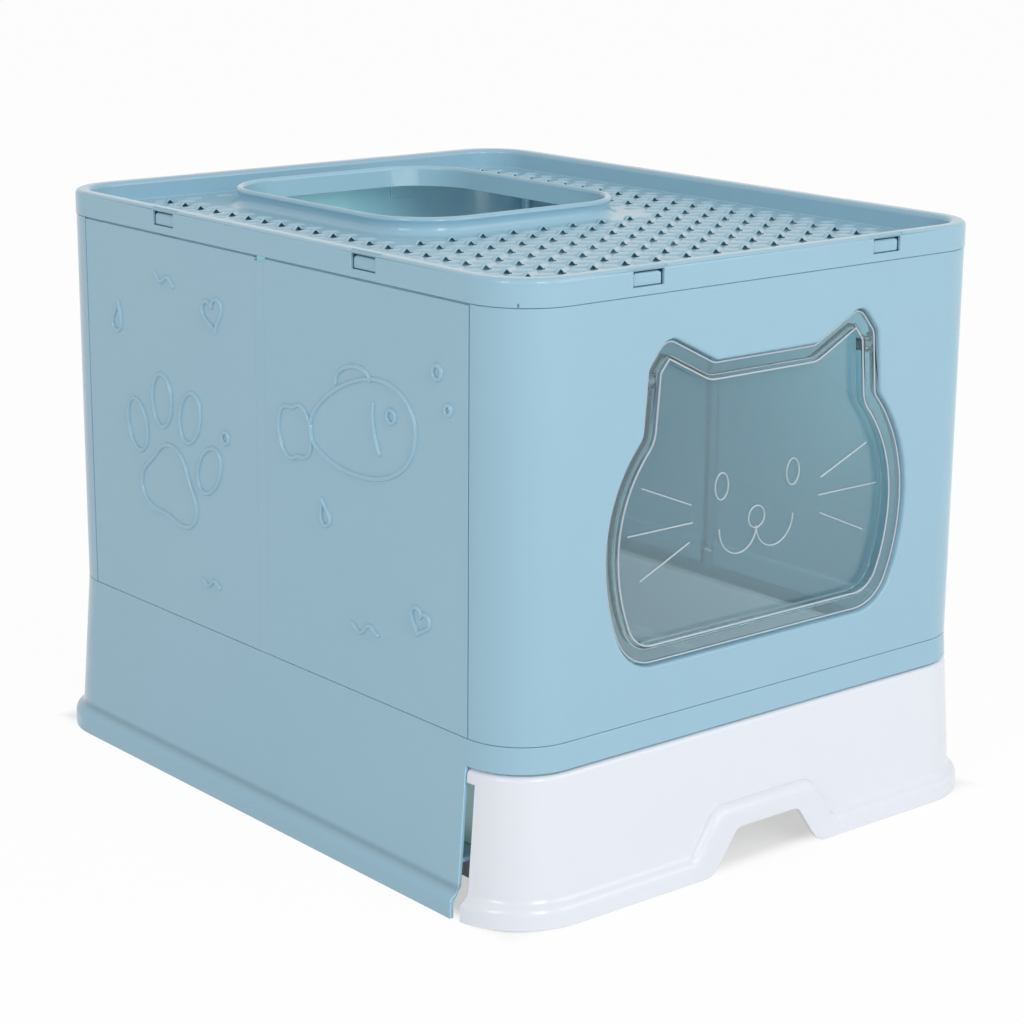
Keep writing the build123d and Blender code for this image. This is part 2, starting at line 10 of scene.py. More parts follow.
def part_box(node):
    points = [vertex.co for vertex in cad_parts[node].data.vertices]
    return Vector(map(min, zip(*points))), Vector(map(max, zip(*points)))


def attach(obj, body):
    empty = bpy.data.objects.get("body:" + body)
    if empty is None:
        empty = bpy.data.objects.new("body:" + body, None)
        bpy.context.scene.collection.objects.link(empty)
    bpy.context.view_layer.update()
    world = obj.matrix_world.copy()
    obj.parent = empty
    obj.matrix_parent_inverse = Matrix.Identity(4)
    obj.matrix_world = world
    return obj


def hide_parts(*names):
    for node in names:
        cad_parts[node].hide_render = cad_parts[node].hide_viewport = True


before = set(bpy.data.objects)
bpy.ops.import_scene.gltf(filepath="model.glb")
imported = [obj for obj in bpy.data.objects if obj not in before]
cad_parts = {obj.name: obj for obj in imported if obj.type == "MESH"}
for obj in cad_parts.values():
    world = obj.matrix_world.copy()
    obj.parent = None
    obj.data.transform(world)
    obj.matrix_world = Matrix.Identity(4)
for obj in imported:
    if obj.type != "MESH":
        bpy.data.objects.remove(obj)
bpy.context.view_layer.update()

bl_info = {
    "name": "Top-entry litter box",
    "version": (1, 0, 0),
    "blender": (4, 5, 0),
    "location": "View3D > Sidebar > Litter box",
    "description": "Dresses the packed litter box: moulded plastic, relief, clear flap and studio",
    "category": "Object",
}

MM = 0.001
MERGE_DISTANCE = 2e-6
SMOOTH_ANGLE = math.radians(32)
BEVEL_ANGLE = math.radians(40)
FLAT_FACE_WEIGHT = 90
LOOP_STEP = 1.5 * MM
FRONTWARD = (0, -1, 0)

# Sizes that the pieces share with the solids
DECK_DROP = 13.5 * MM
RIM_WIDTH = 10.4 * MM
RIM_CORNER = 40 * MM
ENTRY_HALF = (93 * MM, 109 * MM)
ENTRY_CENTRE_Y = 89 * MM
COLLAR_FOOT = 10 * MM
HOLE_SIZE = 6 * MM
HOLE_MARGIN = 12 * MM
FLAP_SHEET = 2.0 * MM
FILM_HALF = 5 * MM
SEAM_Y = 204 * MM
BAND_FOOT = 92 * MM
CREASE_HEIGHT = 17.5 * MM
FOOT_HALF = (198 * MM, 245 * MM)

# Painted shade and painted light on the blue plastic, as shares of its colour, and how far each one reaches
FILM_LINE = 1.0 * MM
FILM_SHADE_INSIDE = 0.45
FILM_SHADE_OUTSIDE = 0.03
CREASE_HALF = 4 * MM
CREASE_SHADE_TONE = 0.74
CUT_EDGE_DEPTH = 0.3 * MM
CUT_EDGE_LIGHT_TONE = 1.4
HOLE_SHADE = 1.2 * MM
HOLE_SHADE_HALF = 0.9 * HOLE_SHADE
HOLE_SHADE_TONE = 0.45
HOOD_EDGE_HIGHLIGHT_TONE = 1.35

# Plastic and steel
PLASTIC_IOR = 1.49
CLOUD_SCALE = 9.0
PATCH_SCALE = 34.0
PATCH_RANGE = (0.3, 0.7)
GRAIN_STRENGTH = 0.35
SATIN_GRAIN_SCALE = 900.0
CLEAR_GRAIN_SCALE = 300.0
SATIN_GLOSS = (0.15, 0.21)
STEEL_GLOSS = (0.22, 0.42)
DRAWN_LINES = (3000.0, 3000.0, 40.0)

# The face on the flap's pane, in millimetres from FACE_MIDDLE along X and up Z
FACE_MIDDLE = 3.4
NOSE_PLACE = (0, 214)
NOSE_HALF = (6.8, 6.8)
EYE_SPREAD = 30
EYE_HEIGHT = 237.4
EYE_HALF = (5.4, 8.2)
SMILE_HALF = 15.6
SMILE_DEPTH = 16.2
SMILE_INNER_END = 208.5
SMILE_LIFT = 2.8
WHISKERS = (
    ((54.5, 229.8), (94.9, 246.2)),
    ((52.9, 218.9), (105.2, 218.8)),
    ((55.1, 207.3), (94.8, 190.0)),
)

# Floor, camera and lamps, in metres; a studio lamp is (name, setting of its power, place, size)
FLOOR_HALF = 12.0
PAPER_COLOUR = (0.95, 0.95, 0.95, 1)
SHADOW_EDGE = (0.97, 1.05)
GLOW_SHARE = (0.55, 0.96)
CAMERA_TARGET = (0, 0, 0.185)
CAMERA_SHIFT = (5.42 * MM, -16.06 * MM)
SENSOR_WIDTH = 36
STUDIO_AIM = (0, 0, 0.18)
STUDIO_LAMPS = (
    ("key_lamp", "key", (1.3, -2.4, 1.7), (1.6, 1.6)),
    ("softbox_left", "soft_left", (-2.7, -0.95, 1.8), (0.7, 1.0)),
    ("softbox_right", "soft_right", (-0.61, -2.82, 1.8), (0.8, 1.6)),
)
INSIDE_Y = -0.19
INSIDE_DROP = 50 * MM
INSIDE_AIM = (0, 0.05, 0.11)
INSIDE_SIZE = (0.34, 0.09)
GAP_PLACE = (0.1925, -0.181, 0.064)
GAP_SIZE = (0.04, 0.045)
REAR_Y = 0.2
REAR_DROP = 30 * MM
REAR_SIZE = (0.16, 0.03)

WALL_NODES = ("front_panel", "rear_panel")
SIDE_NODES = ("left_side_panel", "right_side_panel")
HINGE_PINS = tuple(f"{side}_{end}_hinge_pin" for side in ("left", "right") for end in ("front", "rear"))
FLAP_PINS = ("flap_pin_left", "flap_pin_right")


# Settings


class FinishSettings(bpy.types.PropertyGroup):
    """Colours and edge softness of the mouldings."""

    blue: FloatVectorProperty(
        name="Blue plastic", description="Colour of walls, base and lid", subtype="COLOR",
        default=(0.334, 0.549, 0.672), min=0, max=1,
    )
    white: FloatVectorProperty(
        name="White plastic", description="Colour of the litter drawer", subtype="COLOR",
        default=(0.815, 0.847, 0.910), min=0, max=1,
    )
    tint: FloatVectorProperty(
        name="Flap tint", description="Colour that the clear flap gives to what is behind it",
        subtype="COLOR", default=(0.61, 0.76, 0.79), min=0, max=1,
    )
    etched: FloatVectorProperty(
        name="Etched lines", description="Colour of the raised lines on the flap", subtype="COLOR",
        default=(0.50, 0.58, 0.62), min=0, max=1,
    )
    frosted: FloatVectorProperty(
        name="Frosted pins", description="Colour of the flap's pivot pins", subtype="COLOR",
        default=(0.72, 0.80, 0.84), min=0, max=1,
    )
    # The flap's edge beads are pale: a painted highlight along the flap's edges
    bright: FloatVectorProperty(
        name="Bright edge", description="Colour of the flap's edges, where clear plastic gathers light",
        subtype="COLOR", default=(0.54, 0.60, 0.67), min=0, max=1,
    )
    steel: FloatVectorProperty(
        name="Pin steel", description="Colour of the hinge pins", subtype="COLOR",
        default=(0.52, 0.53, 0.55), min=0, max=1,
    )
    edge_round: FloatProperty(
        name="Edge round", description="Rounding of moulded edges", default=0.45 * MM, min=0, unit="LENGTH",
    )
    flap_round: FloatProperty(
        name="Flap round", description="Rounding of the flap's edges", default=0.8 * MM, min=0, unit="LENGTH",
    )
    edge_steps: IntProperty(
        name="Edge steps", description="Segments of a rounded edge", default=2, min=1, max=6,
    )


class DeckSettings(bpy.types.PropertyGroup):
    """The hoods over the holes of the lid's deck and the raised pads between them."""

    pitch_x: FloatProperty(
        name="Pitch across", description="Hole spacing along X", default=25 * MM, min=MM, unit="LENGTH",
    )
    pitch_y: FloatProperty(
        name="Pitch along", description="Hole spacing along Y", default=19 * MM, min=MM, unit="LENGTH",
    )
    pad_half_x: FloatProperty(
        name="Pad half width", description="Half of a pad along X", default=7.6 * MM, min=0, unit="LENGTH",
    )
    pad_half_y: FloatProperty(
        name="Pad half length", description="Half of a pad along Y", default=4.9 * MM, min=0, unit="LENGTH",
    )
    pad_height: FloatProperty(
        name="Pad height", description="Rise of a pad over the deck", default=1.0 * MM, min=0, unit="LENGTH",
    )
    hood_half: FloatProperty(
        name="Hood half width", description="Half of a hood along X", default=3.3 * MM, min=0, unit="LENGTH",
    )
    hood_length: FloatProperty(
        name="Hood length", description="Length of a hood along Y", default=6 * MM, min=0, unit="LENGTH",
    )
    hood_height: FloatProperty(
        name="Hood height", description="Rise of a hood over the deck",
        default=3.0 * MM, min=0, unit="LENGTH",
    )
    margin: FloatProperty(
        name="Margin", description="Bare deck beside rim and collar", default=2 * MM, min=0, unit="LENGTH",
    )


class ReliefSettings(bpy.types.PropertyGroup):
    """Raised lines on the side walls and on the flap."""

    line_width: FloatProperty(
        name="Line width", description="Width of a raised line on a wall",
        default=2.9 * MM, min=0, unit="LENGTH",
    )
    line_height: FloatProperty(
        name="Line height", description="Height of a raised line on a wall",
        default=1.6 * MM, min=0, unit="LENGTH",
    )
    # The flap's edge beads are pale, a painted highlight along its two edges
    edge_width: FloatProperty(
        name="Flap edge width", description="Width of the bright bead on the flap's two edges",
        default=1.05 * MM, min=0, unit="LENGTH",
    )
    edge_height: FloatProperty(
        name="Flap edge height", description="Height of the bright bead on the flap's two edges",
        default=0.5 * MM, min=0, unit="LENGTH",
    )
    face_width: FloatProperty(
        name="Flap line width", description="Width of a raised line on the flap", default=0.95 * MM, min=0,
        unit="LENGTH",
    )
    face_height: FloatProperty(
        name="Flap line height", description="Height of a raised line on the flap", default=0.7 * MM, min=0,
        unit="LENGTH",
    )


class StageSettings(bpy.types.PropertyGroup):
    """Camera, floor and studio light."""

    yaw: FloatProperty(
        name="Yaw", description="Camera's turn about Z from the front", default=math.radians(-39.84),
        subtype="ANGLE",
    )
    pitch: FloatProperty(
        name="Pitch", description="Camera's height above the horizon", default=math.radians(14.86),
        subtype="ANGLE",
    )
    roll: FloatProperty(
        name="Roll", description="Camera's turn about its own axis",
        default=math.radians(0.45), subtype="ANGLE",
    )
    distance: FloatProperty(
        name="Distance", description="Camera's distance from the box",
        default=1.72835, min=0.1, unit="LENGTH",
    )
    lens: FloatProperty(
        name="Lens", description="Focal length on a 36 mm sensor", default=90.4726, min=1, unit="CAMERA",
    )
    backdrop: FloatVectorProperty(
        name="Backdrop", description="Colour of floor and backdrop", subtype="COLOR", default=(1, 1, 1),
        min=0, max=1,
    )
    fill: FloatProperty(name="Fill", description="Strength of the light from all round", default=0.5, min=0)
    key: FloatProperty(
        name="Key lamp", description="Power of the large lamp at the front right",
        default=15, min=0, unit="POWER",
    )
    inside: FloatProperty(
        name="Inside lamp", description="Power of the lamp under the lid, for light that thin walls let in",
        default=0.34, min=0, unit="POWER",
    )
    inside_colour: FloatVectorProperty(
        name="Inside colour", description="Colour of the lamp under the lid", subtype="COLOR",
        default=(0.95, 1.0, 0.90), min=0, max=1,
    )
    gap: FloatProperty(
        name="Gap lamps", description="Power of each lamp between the drawer and a side of the base",
        default=0.0015, min=0, unit="POWER",
    )
    rear: FloatProperty(
        name="Rear lamp", description="Power of the lamp behind the entry, on the rear wall",
        default=0.016, min=0, unit="POWER",
    )
    through_colour: FloatVectorProperty(
        name="Through colour", description="Colour of light that comes through the blue walls",
        subtype="COLOR", default=(0.7, 1.0, 0.8), min=0, max=1,
    )
    soft_left: FloatProperty(
        name="Left softbox", description="Power of the tall lamp at the left",
        default=14.5, min=0, unit="POWER",
    )
    soft_right: FloatProperty(
        name="Right softbox", description="Power of the tall lamp beside the camera", default=25, min=0,
        unit="POWER",
    )


# Surfaces


class Surface:
    """Vertices and faces of several closed surfaces that become one mesh."""

    def __init__(self):
        self.points = []
        self.faces = []
        self.count = 0

    def add(self, points, faces):
        self.points.append(points)
        self.faces += [tuple(face) for face in faces]
        self.count += len(points)

    def add_rings(self, rings, closed):
        """Quads between rows of a grid of points (row, column, xyz); each row is a closed loop.

        A closed grid joins its last row to its first, an open one gets a flat cap at each end.
        """
        rows, columns, _ = rings.shape
        index = self.count + np.arange(rows * columns).reshape(rows, columns)
        ahead = np.roll(index, -1, axis=0)
        beside = np.roll(index, -1, axis=1)
        both = np.roll(ahead, -1, axis=1)
        quads = np.stack([index, ahead, both, beside], axis=-1)
        faces = (quads if closed else quads[:-1]).reshape(-1, 4).tolist()
        if not closed:
            faces += [index[0].tolist(), index[-1].tolist()]
        self.add(rings.reshape(-1, 3), faces)

    def to_object(self, name):
        mesh = bpy.data.meshes.new(name)
        mesh.from_pydata(np.concatenate(self.points), [], self.faces)
        build = bmesh.new()
        build.from_mesh(mesh)
        bmesh.ops.recalc_face_normals(build, faces=build.faces)
        build.to_mesh(mesh)
        build.free()
        shade_by_angle(mesh)
        obj = bpy.data.objects.new(name, mesh)
        bpy.context.scene.collection.objects.link(obj)
        return obj


def shade_by_angle(mesh):
    mesh.polygons.foreach_set("use_smooth", np.ones(len(mesh.polygons), dtype=bool))
    mesh.set_sharp_from_angle(angle=SMOOTH_ANGLE)


def soft_edged_copy(node, width, steps):
    """A merged copy of a solid with its sharp edges rounded."""
    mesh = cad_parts[node].data.copy()
    mesh.name = node + "_moulding"
    for name in ("custom_normal", "sharp_edge", "sharp_face"):
        attribute = mesh.attributes.get(name)
        if attribute:
            mesh.attributes.remove(attribute)
    build = bmesh.new()
    build.from_mesh(mesh)
    bmesh.ops.remove_doubles(build, verts=build.verts, dist=MERGE_DISTANCE)
    build.to_mesh(mesh)
    build.free()
    mesh.materials.clear()
    shade_by_angle(mesh)
    obj = bpy.data.objects.new(node + "_moulding", mesh)
    bpy.context.scene.collection.objects.link(obj)
    bevel = obj.modifiers.new("edge_round", "BEVEL")
    bevel.width = width
    bevel.segments = steps
    bevel.limit_method = "ANGLE"
    bevel.angle_limit = BEVEL_ANGLE
    bevel.use_clamp_overlap = False
    flat = obj.modifiers.new("flat_faces", "WEIGHTED_NORMAL")
    flat.mode = "FACE_AREA"
    flat.weight = FLAT_FACE_WEIGHT
    flat.keep_sharp = True
    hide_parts(node)
    return obj


def settle(obj, body, material):
    """Give a piece its finish and let it move with its body."""
    obj.data.materials.append(material)
    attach(obj, body)


def bead_rings(path, outward, width, height, closed):
    """A half-round bead along a path.

    The section at each path point is (width / 2 cos v, height sin v) for v from 0 to pi, with two
    corners sunk below the wall. Near an open end it shrinks as a quarter circle, to a small cap.
    """
    steps = 6
    sunk = 0.4 * height
    last_shrink = 0.97
    v = np.linspace(0, np.pi, steps + 1)
    across = np.concatenate([[width / 2], width / 2 * np.cos(v), [-width / 2]])
    rise = np.concatenate([[-sunk], height * np.sin(v), [-sunk]])
    size = np.ones(len(path))
    if closed:
        along = np.roll(path, -1, axis=0) - np.roll(path, 1, axis=0)
    else:
        along = np.gradient(path, axis=0)
        run = run_along(path)
        to_end = np.minimum(run, run[-1] - run)
        short = np.clip(1 - to_end / (width / 2), 0, last_shrink)
        size = np.sqrt(1 - short ** 2)
    along = along / np.linalg.norm(along, axis=1, keepdims=True)
    sideways = np.cross(along, outward)
    spread = size[:, None, None] * across[None, :, None] * sideways[:, None, :]
    lift = size[:, None, None] * rise[None, :, None] * np.asarray(outward)[None, None, :]
    return path[:, None, :] + spread + lift


def run_along(points):
    """The length run at each point of a path: 0, then the sum of the steps so far."""
    return np.concatenate([[0], np.cumsum(np.linalg.norm(np.diff(points, axis=0), axis=1))])


def at_runs(points, at):
    """Points at given lengths along a path of straight runs."""
    run = run_along(points)
    return np.stack([np.interp(at, run, points[:, axis]) for axis in range(3)], axis=1)


def on_open_path(points, count):
    """The path at lengths run (1 - cos t) / 2, for close steps near both ends and their rounded caps."""
    t = np.linspace(0, np.pi, count)
    return at_runs(points, run_along(points)[-1] * (1 - np.cos(t)) / 2)


def evenly(loop):
    """Points at even steps along a closed loop."""
    closed = np.vstack([loop, loop[:1]])
    length = run_along(closed)[-1]
    return at_runs(closed, np.linspace(0, length, int(length / LOOP_STEP), endpoint=False))


def oval(t, half, centre=(0, 0)):
    """Points of an ellipse: centre + (a cos t, b sin t)."""
    return np.stack([np.cos(t), np.sin(t)], axis=1) * half + centre


def turned(points, lean):
    """Flat points turned by an angle: (s cos a - z sin a, s sin a + z cos a)."""
    return points @ np.array([[math.cos(lean), math.sin(lean)], [-math.sin(lean), math.cos(lean)]])


# Shader groups and finishes


def node_in(tree, kind, **values):
    node = tree.nodes.new(kind)
    for name, value in values.items():
        if name in node.inputs:
            node.inputs[name].default_value = value
        else:
            setattr(node, name, value)
    return node


def feed(tree, socket, value):
    """Set a socket to a number, or link it to another node's output."""
    if isinstance(value, bpy.types.NodeSocket):
        tree.links.new(value, socket)
    else:
        socket.default_value = value


def math_node(tree, operation, *values):
    """The output of a Math node; each value is a number or another node's output."""
    node = node_in(tree, "ShaderNodeMath", operation=operation)
    for socket, value in zip(node.inputs, values):
        feed(tree, socket, value)
    return node.outputs[0]


def ranged(tree, value, start, end, soft=False):
    """The output of a Map Range node, which carries value from the range start to the range end."""
    node = node_in(tree, "ShaderNodeMapRange", interpolation_type="SMOOTHSTEP" if soft else "LINEAR")
    names = ("Value", "From Min", "From Max", "To Min", "To Max")
    for name, given in zip(names, (value, *start, *end)):
        feed(tree, node.inputs[name], given)
    return node.outputs[0]


def scaled_colour(tree, colour, scale):
    """A colour output times a scale."""
    node = node_in(tree, "ShaderNodeVectorMath", operation="SCALE")
    feed(tree, node.inputs[0], colour)
    feed(tree, node.inputs["Scale"], scale)
    return node.outputs[0]


def grain_group():
    """Shader group: cloudy tone, uneven gloss and fine grain of moulded plastic."""
    name = "moulded_grain"
    if name in bpy.data.node_groups:
        return bpy.data.node_groups[name]
    tree = bpy.data.node_groups.new(name, "ShaderNodeTree")
    face = tree.interface
    face.new_socket("Colour", in_out="INPUT", socket_type="NodeSocketColor")
    for socket in ("Tone", "Gloss Low", "Gloss High", "Grain Scale"):
        face.new_socket(socket, in_out="INPUT", socket_type="NodeSocketFloat")
    face.new_socket("Colour", in_out="OUTPUT", socket_type="NodeSocketColor")
    face.new_socket("Roughness", in_out="OUTPUT", socket_type="NodeSocketFloat")
    face.new_socket("Height", in_out="OUTPUT", socket_type="NodeSocketFloat")
    inside = node_in(tree, "NodeGroupInput")
    out = node_in(tree, "NodeGroupOutput")
    place = node_in(tree, "ShaderNodeTexCoord")
    cloud = node_in(tree, "ShaderNodeTexNoise", Scale=CLOUD_SCALE, Detail=3.0, Roughness=0.5)
    patch = node_in(tree, "ShaderNodeTexNoise", Scale=PATCH_SCALE, Detail=2.0)
    grain = node_in(tree, "ShaderNodeTexNoise", Detail=2.0, Roughness=0.6)
    link = tree.links.new
    for noise in (cloud, patch, grain):
        link(place.outputs["Object"], noise.inputs["Vector"])
    link(inside.outputs["Grain Scale"], grain.inputs["Scale"])
    centred = math_node(tree, "SUBTRACT", cloud.outputs["Fac"], 0.5)
    clouded = math_node(tree, "MULTIPLY_ADD", centred, inside.outputs["Tone"], 1.0)
    gloss_ends = (inside.outputs["Gloss Low"], inside.outputs["Gloss High"])
    link(scaled_colour(tree, inside.outputs["Colour"], clouded), out.inputs["Colour"])
    link(ranged(tree, patch.outputs["Fac"], PATCH_RANGE, gloss_ends), out.inputs["Roughness"])
    link(grain.outputs["Fac"], out.inputs["Height"])
    return tree


def new_finish(name):
    """A new material, its node tree and its shader."""
    material = bpy.data.materials.new(name)
    material.use_nodes = True
    shader = material.node_tree.nodes["Principled BSDF"]
    return material, material.node_tree, shader


def moulded_finish(name, colour, gloss, tone, grain_depth, grain_scale=SATIN_GRAIN_SCALE):
    """Satin moulded plastic: cloudy colour, uneven gloss and a fine grain."""
    if name in bpy.data.materials:
        return bpy.data.materials[name]
    material, tree, shader = new_finish(name)
    group = node_in(tree, "ShaderNodeGroup", node_tree=grain_group())
    group.inputs["Colour"].default_value = (*colour, 1.0)
    group.inputs["Tone"].default_value = tone
    group.inputs["Gloss Low"].default_value = gloss[0]
    group.inputs["Gloss High"].default_value = gloss[1]
    group.inputs["Grain Scale"].default_value = grain_scale
    bump = node_in(tree, "ShaderNodeBump", Strength=GRAIN_STRENGTH, Distance=grain_depth)
    tree.links.new(group.outputs["Colour"], shader.inputs["Base Color"])
    tree.links.new(group.outputs["Roughness"], shader.inputs["Roughness"])
    tree.links.new(group.outputs["Height"], bump.inputs["Height"])
    tree.links.new(bump.outputs["Normal"], shader.inputs["Normal"])
    shader.inputs["IOR"].default_value = PLASTIC_IOR
    return material


def blue_finish():
    finish = bpy.context.scene.litter_finish
    return moulded_finish("blue_polypropylene", finish.blue, SATIN_GLOSS, tone=0.04, grain_depth=0.005 * MM)


def white_finish():
    finish = bpy.context.scene.litter_finish
    return moulded_finish("white_polypropylene", finish.white, SATIN_GLOSS, tone=0.03, grain_depth=0.02 * MM)


def toned_blue(name, tone):
    """Blue plastic whose colour is scaled by tone(tree, x, y, z), worked out from the place on the piece; it
    carries painted shade and painted light.
    """
    if name in bpy.data.materials:
        return bpy.data.materials[name]
    material = blue_finish().copy()
    material.name = name
    tree = material.node_tree
    shader = tree.nodes["Principled BSDF"]
    colour = shader.inputs["Base Color"].links[0].from_socket
    place = node_in(tree, "ShaderNodeTexCoord")
    split = node_in(tree, "ShaderNodeSeparateXYZ")
    tree.links.new(place.outputs["Object"], split.inputs[0])
    toned = scaled_colour(tree, colour, tone(tree, *split.outputs))
    tree.links.new(toned, shader.inputs["Base Color"])
    return material


def base_shade_and_light(tree, x, y, z):
    """Painted shade in a soft dark line in the crease over the foot, and painted light on the walls' cut
    front edges.
    """
    away = math_node(tree, "ABSOLUTE", math_node(tree, "SUBTRACT", z, CREASE_HEIGHT))
    # Painted shade: darker towards the crease's middle height
    crease = ranged(tree, away, (0, CREASE_HALF), (CREASE_SHADE_TONE, 1), soft=True)
    # Painted light: the cut front edges of the walls below the band made lighter
    cut = math_node(tree, "COMPARE", y, -SEAM_Y, CUT_EDGE_DEPTH)
    cut_edge = math_node(tree, "MULTIPLY", cut, math_node(tree, "LESS_THAN", z, BAND_FOOT))
    cut_edge_light = math_node(tree, "MULTIPLY_ADD", cut_edge, CUT_EDGE_LIGHT_TONE - 1, 1.0)
    return math_node(tree, "MULTIPLY", crease, cut_edge_light)


def film_shade_lines(tree, x, y, z):
    """Painted shade along the film hinge's two lines, where |y| is half its width: dark inside the wall,
    faint outside.
    """
    wall_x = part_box("right_side_panel")[1].x
    line = math_node(tree, "COMPARE", math_node(tree, "ABSOLUTE", y), FILM_HALF, FILM_LINE)
    inside = math_node(tree, "LESS_THAN", math_node(tree, "ABSOLUTE", x), wall_x - FILM_LINE / 2)
    more_inside = FILM_SHADE_INSIDE - FILM_SHADE_OUTSIDE
    shade = math_node(tree, "MULTIPLY_ADD", inside, more_inside, FILM_SHADE_OUTSIDE)
    return math_node(tree, "SUBTRACT", 1.0, math_node(tree, "MULTIPLY", line, shade))


def deck_hole_shade(tree, x, y, z):
    """Painted shade in the lid's sifting holes: dark below the deck's top, off the rim and the entry."""
    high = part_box("top_lid")[1]

    def within_box(centre_y, half_x, half_y):
        beside = math_node(tree, "COMPARE", x, 0.0, half_x)
        return math_node(tree, "MULTIPLY", beside, math_node(tree, "COMPARE", y, centre_y, half_y))

    on_deck = within_box(0.0, high.x - RIM_WIDTH - MM, high.y - RIM_WIDTH - MM)
    at_entry = within_box(ENTRY_CENTRE_Y, ENTRY_HALF[0] + COLLAR_FOOT, ENTRY_HALF[1] + COLLAR_FOOT)
    in_hole = math_node(tree, "COMPARE", z, high.z - DECK_DROP - HOLE_SHADE, HOLE_SHADE_HALF)
    shade = math_node(tree, "MULTIPLY", math_node(tree, "SUBTRACT", on_deck, at_entry), in_hole)
    return math_node(tree, "MULTIPLY_ADD", shade, HOLE_SHADE_TONE - 1, 1.0)


def hood_shade_and_highlight(tree, x, y, z):
    """Painted shade under the hoods and a painted highlight on their front edges, as their mesh carries it.
    """
    return node_in(tree, "ShaderNodeAttribute", attribute_name="shade").outputs["Fac"]


def clear_finish(name, colour, gloss, transmission, tone=0.03, grain_depth=0.01 * MM):
    """Clear or frosted plastic: a moulded finish that lets light through."""
    made = name in bpy.data.materials
    material = moulded_finish(name, colour, gloss, tone, grain_depth, CLEAR_GRAIN_SCALE)
    if not made:
        shader = material.node_tree.nodes["Principled BSDF"]
        shader.inputs["Transmission Weight"].default_value = transmission
    return material


def steel_finish():
    """Drawn steel wire: fine lines along the pin in gloss and bump."""
    name = "drawn_steel"
    if name in bpy.data.materials:
        return bpy.data.materials[name]
    material, tree, shader = new_finish(name)
    place = node_in(tree, "ShaderNodeTexCoord")
    stretch = node_in(tree, "ShaderNodeMapping", Scale=DRAWN_LINES)
    lines = node_in(tree, "ShaderNodeTexNoise", Scale=1.0, Detail=2.0)
    bump = node_in(tree, "ShaderNodeBump", Strength=0.3, Distance=0.02 * MM)
    link = tree.links.new
    link(place.outputs["Object"], stretch.inputs["Vector"])
    link(stretch.outputs["Vector"], lines.inputs["Vector"])
    link(ranged(tree, lines.outputs["Fac"], (0, 1), STEEL_GLOSS), shader.inputs["Roughness"])
    link(lines.outputs["Fac"], bump.inputs["Height"])
    link(bump.outputs["Normal"], shader.inputs["Normal"])
    shader.inputs["Base Color"].default_value = (*bpy.context.scene.litter_finish.steel, 1.0)
    shader.inputs["Metallic"].default_value = 1.0
    return material


# Pieces


class LITTERBOX_OT_base(bpy.types.Operator):
    """Finish the base frame"""

    bl_idname = "litterbox.base"
    bl_label = "Base frame"

    def execute(self, context):
        finish = context.scene.litter_finish
        base = soft_edged_copy("base_frame", finish.edge_round, finish.edge_steps)
        # Painted shade in the foot's crease and painted light on the walls' cut front edges
        settle(base, "base", toned_blue("blue_polypropylene_foot", base_shade_and_light))
        return {"FINISHED"}


class LITTERBOX_OT_drawer(bpy.types.Operator):
    """Finish the litter drawer"""

    bl_idname = "litterbox.drawer"
    bl_label = "Litter drawer"

    def execute(self, context):
        finish = context.scene.litter_finish
        drawer = soft_edged_copy("litter_drawer", finish.edge_round, finish.edge_steps)
        settle(drawer, "drawer", white_finish())
        return {"FINISHED"}


class LITTERBOX_OT_walls(bpy.types.Operator):
    """Finish the four wall panels and the pins of their hinges"""

    bl_idname = "litterbox.walls"
    bl_label = "Wall panels"

    def execute(self, context):
        finish = context.scene.litter_finish
        for node in WALL_NODES + SIDE_NODES:
            panel = soft_edged_copy(node, finish.edge_round, finish.edge_steps)
            hinged = node in SIDE_NODES
            # The side panels get painted shade along their film hinges
            plastic = toned_blue("blue_polypropylene_film", film_shade_lines) if hinged else blue_finish()
            settle(panel, "enclosure", plastic)
        for node in HINGE_PINS:
            pin = soft_edged_copy(node, finish.edge_round, finish.edge_steps)
            settle(pin, "enclosure", steel_finish())
        return {"FINISHED"}


def fish_lines():
    """A fish in outline: (closed, points) of each line, about its middle, nose at +s.

    The body is an ellipse that is taller towards the nose, the tail an ellipse pinched in the middle,
    the gill an arc and the fin on the back half an ellipse with a flattened top.
    """
    t = np.linspace(0, 2 * np.pi, 72, endpoint=False)
    body = oval(t, (46, 25))
    body[:, 1] *= 1 + 0.22 * np.cos(t)
    tail = oval(t, (13, 21 / 1.1))
    tail[:, 0] *= 1.15 - 0.55 * np.sin(t) ** 2
    tail[:, 1] *= 1 + 0.32 * np.cos(2 * t)
    eye = oval(t, (3.4, 3.4), (27, 6))
    gill = oval(np.linspace(-0.95, 0.95, 24), (-7, 17), (18, 0))
    half = np.linspace(0, np.pi, 30)
    back_fin = np.stack([-2 + 15 * np.cos(half), 23.5 + 9 * np.sin(half) ** 0.8], axis=1)
    return [(True, body), (True, tail + (-60, 0)), (True, eye), (False, gill), (False, back_fin)]


def paw_lines():
    """A paw print in outline, about its middle: an ellipse swollen in three lobes, and four oval toes."""
    t = np.linspace(0, 2 * np.pi, 72, endpoint=False)
    swell = 1 + 0.16 * np.cos(3 * (t - np.pi / 2)) + 0.05 * np.cos(2 * t)
    lines = [(True, swell[:, None] * oval(t, (25, 21)) + (0, -14))]
    for s, z, lean in ((-36, 9, 0.45), (-14, 31, 0.16), (14, 31, -0.16), (36, 9, -0.45)):
        lines.append((True, turned(oval(t, (9.5, 14.5)), lean) + (s, z)))
    return lines


